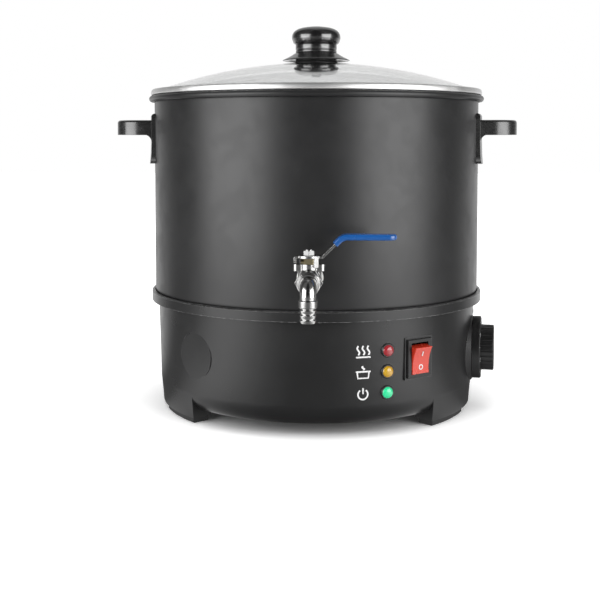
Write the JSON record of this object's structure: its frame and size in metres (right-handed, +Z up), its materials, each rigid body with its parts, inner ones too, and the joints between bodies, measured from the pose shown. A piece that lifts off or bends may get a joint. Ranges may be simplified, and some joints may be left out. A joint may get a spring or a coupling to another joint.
{
  "type": "candle wax melter",
  "caption": "Countertop wax melter: a straight-sided pot with a domed glass lid, a ball-valve spout at the front and a round base with pilot lamps, a rocker switch and a thermostat dial.",
  "frame": {"origin": "on the surface the melter stands on, under the pot's axis", "axes": "+Z up along the pot's axis; -Y is the front, where the valve's spout stands out; +X is the right side, seen from the front, where the dial is"},
  "size_m": [0.346, 0.333, 0.3266],
  "materials": {
    "pot_coating": "satin black non-stick coating on spun metal",
    "shell_plastic": "satin black moulded heat-resistant plastic",
    "cover_plastic": "matt black moulded plastic",
    "handle_resin": "satin black phenolic moulding",
    "knob_resin": "glossy black phenolic moulding",
    "dial_plastic": "black moulded plastic",
    "lamp_black": "glossy black plastic",
    "lens_red": "clear red faceted plastic",
    "lens_amber": "clear amber faceted plastic",
    "lens_green": "clear green faceted plastic",
    "switch_red": "glossy red plastic",
    "foot_rubber": "matt dark grey rubber",
    "heater_aluminium": "cast aluminium",
    "plated_steel": "zinc-plated steel",
    "stainless": "bright stainless steel",
    "lid_steel": "bright rolled stainless steel",
    "contact_brass": "brass",
    "gland_brass": "worn bright brass",
    "seal_white": "white fluoropolymer seal",
    "white_ceramic": "fired white steatite",
    "insulator": "off-white insulating material",
    "seal_black": "black silicone rubber",
    "lever_blue": "blue dipped vinyl",
    "clear_glass": "clear tempered glass"
  },
  "bodies": {
    "melter": {"pot": "pot_coating", "base_shell": "shell_plastic", "pot_ring": "shell_plastic", "pot_collar": "shell_plastic", "bottom_cover": "cover_plastic", "cover_screws": "plated_steel", "foot_pads": "foot_rubber", "heater_plate": "heater_aluminium", "heating_element": "plated_steel", "element_bushes": "white_ceramic", "heat_shield": "plated_steel", "pot_studs": "plated_steel", "stud_nuts": "plated_steel", "thermal_cutout": "plated_steel", "terminal_block": "insulator", "thermostat_body": "insulator", "thermostat_screws": "plated_steel", "thermostat_bulb": "contact_brass", "lamp_bezels": "lamp_black", "lamp_lens_red": "lens_red", "lamp_lens_amber": "lens_amber", "lamp_lens_green": "lens_green", "lamp_clips": "plated_steel", "switch_housing": "dial_plastic", "switch_terminals": "contact_brass", "cable_gland": "lamp_black", "handle_right": "handle_resin", "handle_left": "handle_resin", "handle_screws": "stainless", "valve_body": "stainless", "valve_washers": "seal_white", "valve_lock_nut": "stainless", "valve_seats": "seal_white", "valve_gland_nut": "gland_brass", "valve_spout": "stainless"},
    "valve_lever_set": {"valve_ball": "stainless", "valve_stem": "stainless", "valve_lever": "stainless", "lever_sleeve": "lever_blue", "valve_stem_nut": "stainless"},
    "dial": {"dial_knob": "dial_plastic", "thermostat_shaft": "plated_steel"},
    "rocker": {"switch_paddle": "switch_red"},
    "lid": {"lid_glass": "clear_glass", "lid_band": "lid_steel", "knob_gasket": "seal_black", "knob_skirt": "knob_resin", "knob_neck": "knob_resin", "knob_cap": "knob_resin", "knob_washer": "stainless", "knob_screw": "stainless"}
  },
  "joints": [
    {"name": "lever_turn", "type": "hinge", "parent": "melter", "child": "valve_lever_set", "pos_m": [0, -0.1615, 0.1253], "axis": [0, 0, -1], "range_deg": [0, 90]},
    {"name": "dial_turn", "type": "hinge", "parent": "melter", "child": "dial", "pos_m": [0.13828, -0.0219, 0.051], "axis": [-0.9877, 0.1564, 0], "range_deg": [0, 270]},
    {"name": "rocker_tilt", "type": "hinge", "parent": "melter", "child": "rocker", "pos_m": [0.08127, -0.10591, 0.059], "axis": [-0.7934, -0.6088, 0], "range_deg": [0, 22]},
    {"name": "lid_lift", "type": "slide", "parent": "melter", "child": "lid", "axis": [0, 0, 1], "range_m": [0, 0.12]}
  ]
}
